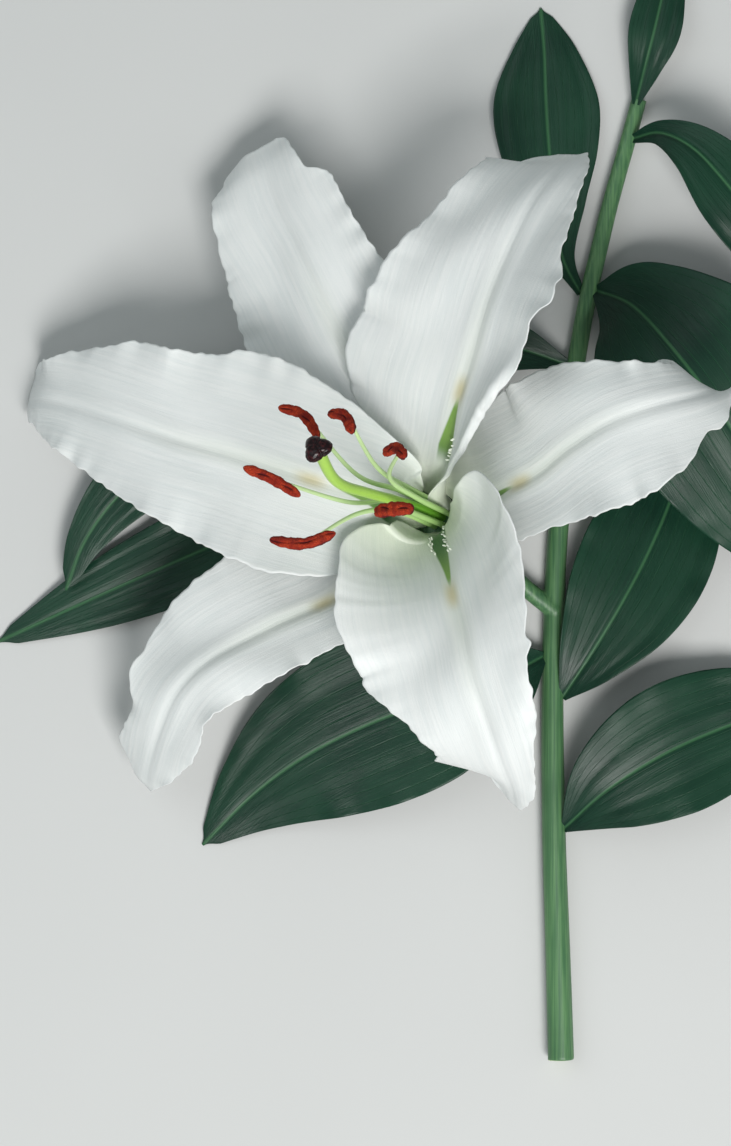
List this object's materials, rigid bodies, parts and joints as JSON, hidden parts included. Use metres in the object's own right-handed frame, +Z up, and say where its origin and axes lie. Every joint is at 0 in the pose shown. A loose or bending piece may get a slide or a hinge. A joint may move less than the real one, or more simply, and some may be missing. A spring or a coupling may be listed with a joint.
{
  "type": "white oriental lily flower on its leafy stem",
  "caption": "Cut stem of a white oriental lily with one wide open bloom, rust-red anthers and dark green leaves, lying down with the bloom facing up.",
  "frame": {"origin": "on the surface that the stem lies on, at the middle of the part's footprint", "axes": "+Z up from the surface, +Y along the stem from its cut end towards its tip, +X to the right in the picture"},
  "size_m": [0.2618, 0.3439, 0.1042],
  "materials": {
    "petal": "soft white petal, faintly translucent, pale green at the throat",
    "filament": "pale green, smooth",
    "anther": "rust-red pollen, rough",
    "pistil": "lime green, smooth",
    "stigma": "dark plum, moist gloss",
    "leaf": "dark green, waxy sheen with parallel veins",
    "stem": "fresh green, satin"
  },
  "bodies": {
    "root": {"stem": "stem", "petal_left": "petal", "petal_upper": "petal", "petal_lower": "petal", "sepal_upper_left": "petal", "sepal_right": "petal", "sepal_lower_left": "petal", "filament_left_high": "filament", "filament_high": "filament", "filament_right_high": "filament", "filament_left": "filament", "filament_left_low": "filament", "filament_right_low": "filament", "anther_left_high": "anther", "anther_high": "anther", "anther_right_high": "anther", "anther_left": "anther", "anther_left_low": "anther", "anther_right_low": "anther", "pistil": "pistil", "stigma": "stigma", "leaf_1_right_foot": "leaf", "leaf_2_right_low": "leaf", "leaf_3_left_low": "leaf", "leaf_4_left": "leaf", "leaf_5_left_high": "leaf", "leaf_6_right": "leaf", "leaf_7_up": "leaf", "leaf_8_right_top": "leaf", "leaf_9_tip": "leaf"}
  },
  "joints": []
}
